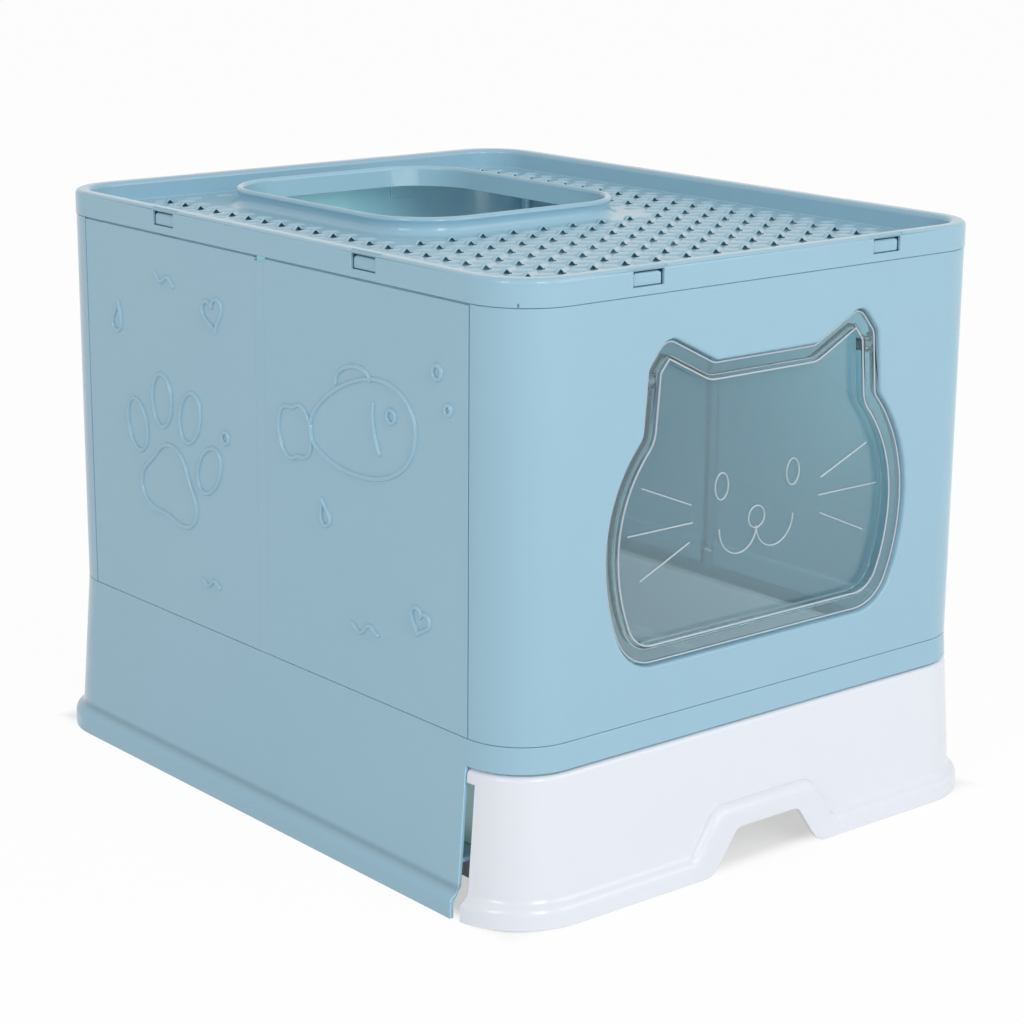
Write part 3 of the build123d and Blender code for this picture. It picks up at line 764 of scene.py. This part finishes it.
def heart_line():
    """The usual heart curve: (16 sin^3 t, 13 cos t - 5 cos 2t - 2 cos 3t - cos 4t)."""
    t = np.linspace(0, 2 * np.pi, 48, endpoint=False)
    s = 16 * np.sin(t) ** 3
    z = 13 * np.cos(t) - 5 * np.cos(2 * t) - 2 * np.cos(3 * t) - np.cos(4 * t)
    return [(True, np.stack([s, z], axis=1))]


def drop_line():
    """A drop: (sin t sin^2(t/2), cos t)."""
    t = np.linspace(0, 2 * np.pi, 40, endpoint=False)
    return [(True, np.stack([9 * np.sin(t) * np.sin(t / 2) ** 2, 11 * np.cos(t)], axis=1))]


def bubble_line():
    """A bubble: a small circle."""
    return [(True, oval(np.linspace(0, 2 * np.pi, 28, endpoint=False), (4, 4)))]


def ripple_line():
    """A short wave: (s, sin s)."""
    s = np.linspace(-14, 14, 40)
    return [(False, np.stack([s, 2.6 * np.sin(s / 14 * 1.5 * np.pi)], axis=1))]


# Where each motif sits on a wall seen from outside: (lines, along, height, scale, lean), millimetres
WALL_MOTIFS = (
    (fish_lines, 104, 272, 1.15, 0.20),
    (paw_lines, -104, 212, 1.2, -0.18),
    (heart_line, -52, 318, 0.7, 0.25),
    (heart_line, 160, 168, 0.55, -0.3),
    (drop_line, -166, 300, 0.9, -0.2),
    (drop_line, 66, 214, 0.75, 0.3),
    (bubble_line, 176, 318, 1.0, 0.0),
    (bubble_line, 186, 298, 0.7, 0.0),
    (bubble_line, -40, 240, 0.9, 0.0),
    (ripple_line, 106, 150, 1.0, 0.12),
    (ripple_line, -108, 332, 0.9, -0.1),
    (ripple_line, -60, 140, 0.8, 0.1),
)


class LITTERBOX_OT_side_relief(bpy.types.Operator):
    """Raise a line drawing of paw, fish and small marks on both side walls"""

    bl_idname = "litterbox.side_relief"
    bl_label = "Side relief"

    def execute(self, context):
        relief = context.scene.litter_relief
        for node, side in zip(SIDE_NODES, (-1, 1)):
            low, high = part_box(node)
            wall_x = low.x if side < 0 else high.x
            drawing = Surface()
            for motif, along, height, scale, lean in WALL_MOTIFS:
                for closed, points in motif():
                    flat = (scale * turned(points, lean) + (along, height)) * MM
                    path = np.stack([np.full(len(flat), wall_x), side * flat[:, 0], flat[:, 1]], axis=1)
                    if not closed:
                        path = on_open_path(path, len(path))
                    rings = bead_rings(path, (side, 0, 0), relief.line_width, relief.line_height, closed)
                    drawing.add_rings(rings, closed)
            settle(drawing.to_object(node + "_relief"), "enclosure", blue_finish())
        return {"FINISHED"}


class LITTERBOX_OT_lid(bpy.types.Operator):
    """Finish the lid, hood the holes of its sifting deck and raise the pads between them"""

    bl_idname = "litterbox.lid"
    bl_label = "Top lid"

    def pad_places(self, deck):
        """Places midway between neighbour holes along Y and along X, clear of rim, corners and collar."""
        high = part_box("top_lid")[1]
        half = np.array([high.x, high.y]) - RIM_WIDTH - deck.margin
        pad = np.array([deck.pad_half_x, deck.pad_half_y])
        pitch = np.array([deck.pitch_x, deck.pitch_y])
        cells = np.ceil(half / pitch).astype(int)
        step = np.stack(np.meshgrid(*[np.arange(-2 * n, 2 * n + 1) for n in cells]), axis=-1).reshape(-1, 2)
        places = step[step.sum(axis=1) % 2 == 1] * pitch / 2
        reach = np.abs(places) + pad
        in_rim = (reach <= half).all(axis=1)
        corner = np.maximum(reach - (half - RIM_CORNER), 0)
        in_corner = np.linalg.norm(corner, axis=1) <= RIM_CORNER
        from_entry = np.abs(places - (0, ENTRY_CENTRE_Y)) - pad
        off_collar = (from_entry >= np.array(ENTRY_HALF) + COLLAR_FOOT + deck.margin / 2).any(axis=1)
        return places[in_rim & in_corner & off_collar]

    def hole_places(self, deck):
        """Where the holes are: a grid inside the rim's rounded corners and off the collar."""
        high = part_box("top_lid")[1]
        limit = np.array([high.x, high.y]) - RIM_WIDTH - HOLE_MARGIN
        pitch = np.array([deck.pitch_x, deck.pitch_y])
        cells = (limit // pitch).astype(int)
        step = np.stack(np.meshgrid(*[np.arange(-n, n + 1) for n in cells]), axis=-1).reshape(-1, 2)
        places = step * pitch
        corner = np.maximum(np.abs(places) - limit + RIM_CORNER, 0)
        in_rim = np.linalg.norm(corner, axis=1) <= RIM_CORNER
        from_entry = np.abs(places - (0, ENTRY_CENTRE_Y)) - np.array(ENTRY_HALF) - COLLAR_FOOT
        return places[in_rim & (from_entry >= HOLE_SIZE).any(axis=1)]

    def pads(self, deck, deck_z):
        """A low dome at each place between the holes.

        Over a rounded rectangle with the edge (|cos|, |sin|) ** 0.7, the height at the share r of the way
        out is (1 - r^2) ** 0.8. The foot is sunk into the deck.
        """
        sunk = 0.3 * deck.pad_height
        angle = np.linspace(0, 2 * np.pi, 12, endpoint=False)
        edge = oval(angle, (1, 1))
        edge = np.sign(edge) * np.abs(edge) ** 0.7
        radius = np.array([0.18, 0.55, 0.85, 1.0])
        rise = deck.pad_height * (1 - radius ** 2) ** 0.8
        rise[-1] = -sunk
        dome = np.empty((len(radius), len(angle), 3))
        dome[..., :2] = radius[:, None, None] * edge[None] * (deck.pad_half_x, deck.pad_half_y)
        dome[..., 2] = deck_z + rise[:, None]
        pads = Surface()
        for place in self.pad_places(deck):
            pads.add_rings(dome + (*place, 0), False)
        return pads.to_object("deck_pads")

    def hoods(self, deck, deck_z):
        """A hood behind each hole, open to the front.

        The section is a tent arch z = 1 - |x| ** 1.3 with a smaller one as its lining, and it shrinks
        along Y by sqrt(1 - t^2). The foot is sunk into the deck.
        """
        lining = 0.75
        sunk = 0.1 * deck.hood_height
        across = np.linspace(-1, 1, 5)
        arch = np.stack([across, 1 - np.abs(across) ** 1.3], axis=1)
        section = np.concatenate([arch, lining * arch[::-1]]) * (deck.hood_half, deck.hood_height)
        t = np.array([0, 0.4, 0.75, 0.97])
        size = np.sqrt(1 - t ** 2)
        hood = np.empty((len(t), len(section), 3))
        hood[..., ::2] = size[:, None, None] * section[None]
        hood[..., 1] = t[:, None] * deck.hood_length
        hood[..., 2] += deck_z - sunk
        hoods = Surface()
        places = self.hole_places(deck)
        for place in places:
            hoods.add_rings(hood + (*place, 0), False)
        obj = hoods.to_object("deck_hoods")
        # The point attribute carries painted light: a painted highlight on each hood's front outer edge,
        # painted shade on its lining
        shade = np.ones((len(places), len(t), len(section)), dtype=np.float32)
        shade[:, 0, :len(arch)] = HOOD_EDGE_HIGHLIGHT_TONE
        shade[..., len(arch):] = HOLE_SHADE_TONE
        obj.data.attributes.new("shade", "FLOAT", "POINT").data.foreach_set("value", shade.ravel())
        return obj

    def execute(self, context):
        finish = context.scene.litter_finish
        lid = soft_edged_copy("top_lid", finish.edge_round, finish.edge_steps)
        # Painted shade in the deck's sifting holes
        settle(lid, "lid", toned_blue("blue_polypropylene_deck", deck_hole_shade))

        deck = context.scene.litter_deck
        deck_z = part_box("top_lid")[1].z - DECK_DROP
        settle(self.pads(deck, deck_z), "lid", blue_finish())
        # Painted shade and painted highlight on the hoods
        hood_light_and_shade = toned_blue("blue_polypropylene_hood", hood_shade_and_highlight)
        settle(self.hoods(deck, deck_z), "lid", hood_light_and_shade)
        return {"FINISHED"}


def face_lines():
    """Eyes, nose, mouth and whiskers on the pane, in millimetres along X and Z.

    Eyes and nose are ellipses, each half of the mouth is a half ellipse, whiskers are straight.
    """
    t = np.linspace(0, 2 * np.pi, 40, endpoint=False)
    bow = np.linspace(0, np.pi, 40)
    lines = [(True, oval(t, NOSE_HALF, NOSE_PLACE))]
    for side in (-1, 1):
        lines.append((True, oval(t, EYE_HALF, (side * EYE_SPREAD, EYE_HEIGHT))))
        smile_x = side * SMILE_HALF * (1 - np.cos(bow))
        smile_z = SMILE_INNER_END + SMILE_LIFT * bow / np.pi - SMILE_DEPTH * np.sin(bow)
        lines.append((False, np.stack([smile_x, smile_z], axis=1)))
        lines += [(False, np.array(ends) * (side, 1)) for ends in WHISKERS]
    return [(closed, points + (FACE_MIDDLE, 0)) for closed, points in lines]


def front_loops(node):
    """The closed edges of a solid's frontmost flat face, as evenly spaced points."""
    build = bmesh.new()
    build.from_mesh(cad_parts[node].data)
    bmesh.ops.remove_doubles(build, verts=build.verts, dist=MERGE_DISTANCE)
    front_y = min(v.co.y for v in build.verts)
    flat = [f for f in build.faces if all(v.co.y < front_y + MERGE_DISTANCE for v in f.verts)]
    ways = {}
    for edge in (e for f in flat for e in f.edges):
        if sum(f in flat for f in edge.link_faces) == 1:
            a, b = edge.verts
            ways.setdefault(a, []).append(b)
            ways.setdefault(b, []).append(a)
    loops = []
    while ways:
        start, (ahead, _) = ways.popitem()
        loop = [start.co.copy()]
        while ahead in ways:
            loop.append(ahead.co.copy())
            following = [v for v in ways.pop(ahead) if v in ways]
            ahead = following[0] if following else start
        loops.append(evenly(np.array(loop)))
    build.free()
    return loops


class LITTERBOX_OT_flap(bpy.types.Operator):
    """Finish the clear flap, its pivot pins, the raised lines on its pane and pale beads along its edges as a
    painted highlight
    """

    bl_idname = "litterbox.flap"
    bl_label = "Flap"

    def execute(self, context):
        finish = context.scene.litter_finish
        relief = context.scene.litter_relief
        clear = clear_finish(
            "clear_styrene", finish.tint, gloss=(0.03, 0.06), transmission=0.94, grain_depth=0.001 * MM,
        )
        flap = soft_edged_copy("flap_door", finish.flap_round, finish.edge_steps)
        settle(flap, "flap", clear)
        frosted = clear_finish("frosted_styrene", finish.frosted, gloss=(0.30, 0.45), transmission=0.3)
        for node in FLAP_PINS:
            pin = soft_edged_copy(node, finish.edge_round, finish.edge_steps)
            settle(pin, "flap", frosted)
        etched = moulded_finish(
            "etched_line", finish.etched, gloss=(0.12, 0.2), tone=0.03, grain_depth=0.01 * MM,
        )
        pane_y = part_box("flap_door")[1].y - FLAP_SHEET
        lines = Surface()
        for closed, points in face_lines():
            path = np.stack([points[:, 0] * MM, np.full(len(points), pane_y), points[:, 1] * MM], axis=1)
            if not closed:
                path = on_open_path(path, 40)
            bead = bead_rings(path, FRONTWARD, relief.face_width, relief.face_height, closed)
            lines.add_rings(bead, closed)
        settle(lines.to_object("flap_face_lines"), "flap", etched)

        # Pale beads along the flap's edges: a painted highlight
        bright = moulded_finish(
            "bright_edge", finish.bright, gloss=(0.06, 0.12), tone=0.03, grain_depth=0.01 * MM,
        )
        edges = Surface()
        for loop in front_loops("flap_door"):
            bead = bead_rings(loop, FRONTWARD, relief.edge_width, relief.edge_height, True)
            edges.add_rings(bead, True)
        settle(edges.to_object("flap_edge_beads"), "flap", bright)
        return {"FINISHED"}


# Stage


def backdrop_switch(tree):
    """1 for rays that see the backdrop itself: from the camera, or by gloss or glass."""
    path = node_in(tree, "ShaderNodeLightPath")
    sharp = math_node(tree, "MAXIMUM", path.outputs["Is Glossy Ray"], path.outputs["Is Transmission Ray"])
    return math_node(tree, "MAXIMUM", path.outputs["Is Camera Ray"], sharp)


def area_lamp(name, place, aim, size, power, colour=(1, 1, 1)):
    data = bpy.data.lights.new(name, "AREA")
    data.shape = "RECTANGLE"
    data.size, data.size_y = size
    data.energy = power
    data.color = colour
    lamp = bpy.data.objects.new(name, data)
    lamp.location = place
    lamp.rotation_mode = "QUATERNION"
    lamp.rotation_quaternion = (Vector(aim) - Vector(place)).to_track_quat("-Z", "Y")
    bpy.context.scene.collection.objects.link(lamp)


class LITTERBOX_OT_stage(bpy.types.Operator):
    """Set floor, backdrop, lamps and camera"""

    bl_idname = "litterbox.stage"
    bl_label = "Stage"

    def floor(self, stage):
        """A large pale floor that shows as backdrop, with part of its own shading for the shadow.

        Under the box, where max(|x| / a, |y| / b) < 1, the shading has the larger part: less glow there is a
        painted darkening of the footprint, and the floor's own shading shows the real shadow.
        """
        corners = np.array([(-1, -1), (1, -1), (1, 1), (-1, 1)]) * FLOOR_HALF
        mesh = bpy.data.meshes.new("floor")
        mesh.from_pydata(np.column_stack([corners, np.zeros(4)]), [], [(0, 1, 2, 3)])
        floor = bpy.data.objects.new("floor", mesh)
        bpy.context.scene.collection.objects.link(floor)
        material = bpy.data.materials.new("pale_floor")
        material.use_nodes = True
        tree = material.node_tree
        tree.nodes.clear()
        paper = node_in(tree, "ShaderNodeBsdfDiffuse")
        paper.inputs["Color"].default_value = PAPER_COLOUR
        glow = node_in(tree, "ShaderNodeEmission")
        glow.inputs["Color"].default_value = (*stage.backdrop, 1)
        place = node_in(tree, "ShaderNodeTexCoord")
        split = node_in(tree, "ShaderNodeSeparateXYZ")
        tree.links.new(place.outputs["Object"], split.inputs[0])
        spans = [
            math_node(tree, "DIVIDE", math_node(tree, "ABSOLUTE", along), half)
            for along, half in zip(split.outputs, FOOT_HALF)
        ]
        away = math_node(tree, "MAXIMUM", *spans)
        # Less glow under the box: a painted darkening of the footprint, where the real shadow also falls
        share = ranged(tree, away, SHADOW_EDGE, GLOW_SHARE, soft=True)
        mix = node_in(tree, "ShaderNodeMixShader")
        out = node_in(tree, "ShaderNodeOutputMaterial")
        tree.links.new(math_node(tree, "MULTIPLY", backdrop_switch(tree), share), mix.inputs["Fac"])
        tree.links.new(paper.outputs[0], mix.inputs[1])
        tree.links.new(glow.outputs[0], mix.inputs[2])
        tree.links.new(mix.outputs[0], out.inputs["Surface"])
        mesh.materials.append(material)

    def world(self, stage):
        """Even light from all round, and the backdrop's colour where it is seen."""
        world = bpy.data.worlds.new("studio")
        world.use_nodes = True
        tree = world.node_tree
        background = tree.nodes["Background"]
        background.inputs["Color"].default_value = (*stage.backdrop, 1)
        level = ranged(tree, backdrop_switch(tree), (0, 1), (stage.fill, 1))
        tree.links.new(level, background.inputs["Strength"])
        bpy.context.scene.world = world

    def lamps(self, stage):
        """Studio lamps, and small ones inside for the light that thin walls let through."""
        for name, power, place, size in STUDIO_LAMPS:
            area_lamp(name, place, STUDIO_AIM, size, getattr(stage, power))
        lid_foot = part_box("top_lid")[0].z
        under_lid = (0, INSIDE_Y, lid_foot - INSIDE_DROP)
        area_lamp("inside_lamp", under_lid, INSIDE_AIM, INSIDE_SIZE, stage.inside, stage.inside_colour)
        for side in (-1, 1):
            place = Vector(GAP_PLACE) * Vector((side, 1, 1))
            drawer = place - Vector((side, 0, 0))
            area_lamp("gap_lamp", place, drawer, GAP_SIZE, stage.gap, stage.through_colour)
        behind = Vector((0, REAR_Y, lid_foot - REAR_DROP))
        rear_wall = behind - Vector(FRONTWARD)
        area_lamp("rear_lamp", behind, rear_wall, REAR_SIZE, stage.rear, stage.through_colour)

    def camera(self, stage):
        """Camera on a circle about the box, turned by yaw and pitch, moved in its own plane and rolled."""
        shift_right, shift_up = CAMERA_SHIFT
        back = Vector((
            math.sin(stage.yaw) * math.cos(stage.pitch),
            -math.cos(stage.yaw) * math.cos(stage.pitch),
            math.sin(stage.pitch),
        ))
        level_right = Vector((0, 0, 1)).cross(back).normalized()
        level_up = back.cross(level_right)
        right = math.cos(stage.roll) * level_right + math.sin(stage.roll) * level_up
        up = -math.sin(stage.roll) * level_right + math.cos(stage.roll) * level_up
        data = bpy.data.cameras.new("camera")
        data.lens = stage.lens
        data.sensor_width = SENSOR_WIDTH
        camera = bpy.data.objects.new("camera", data)
        bpy.context.scene.collection.objects.link(camera)
        place = Vector(CAMERA_TARGET) + shift_right * right + shift_up * up + stage.distance * back
        camera.matrix_world = Matrix.Translation(place) @ Matrix((right, up, back)).transposed().to_4x4()
        bpy.context.scene.camera = camera

    def execute(self, context):
        stage = context.scene.litter_stage
        self.floor(stage)
        self.world(stage)
        self.lamps(stage)
        self.camera(stage)
        context.scene.view_settings.view_transform = "Standard"
        return {"FINISHED"}


# Sidebar and registration


SETTINGS = {
    "litter_finish": FinishSettings,
    "litter_deck": DeckSettings,
    "litter_relief": ReliefSettings,
    "litter_stage": StageSettings,
}
OPERATORS = (
    LITTERBOX_OT_base,
    LITTERBOX_OT_drawer,
    LITTERBOX_OT_walls,
    LITTERBOX_OT_side_relief,
    LITTERBOX_OT_lid,
    LITTERBOX_OT_flap,
    LITTERBOX_OT_stage,
)


class LITTERBOX_PT_panel(bpy.types.Panel):
    """Lists the pieces of the litter box and their settings"""

    bl_idname = "LITTERBOX_PT_panel"
    bl_label = "Litter box"
    bl_space_type = "VIEW_3D"
    bl_region_type = "UI"
    bl_category = "Litter box"

    def draw(self, context):
        for operator in OPERATORS:
            self.layout.operator(operator.bl_idname)
        for name, group in SETTINGS.items():
            box = self.layout.box()
            for setting in group.__annotations__:
                box.prop(getattr(context.scene, name), setting)


CLASSES = (*SETTINGS.values(), *OPERATORS, LITTERBOX_PT_panel)


def register():
    for each in CLASSES:
        bpy.utils.register_class(each)
    for name, group in SETTINGS.items():
        setattr(bpy.types.Scene, name, PointerProperty(type=group))


def unregister():
    for name in SETTINGS:
        delattr(bpy.types.Scene, name)
    for each in reversed(CLASSES):
        bpy.utils.unregister_class(each)


def main():
    register()
    bpy.ops.litterbox.base()
    bpy.ops.litterbox.drawer()
    bpy.ops.litterbox.walls()
    bpy.ops.litterbox.side_relief()
    bpy.ops.litterbox.lid()
    bpy.ops.litterbox.flap()
    bpy.ops.litterbox.stage()


if __name__ == "__main__":
    main()
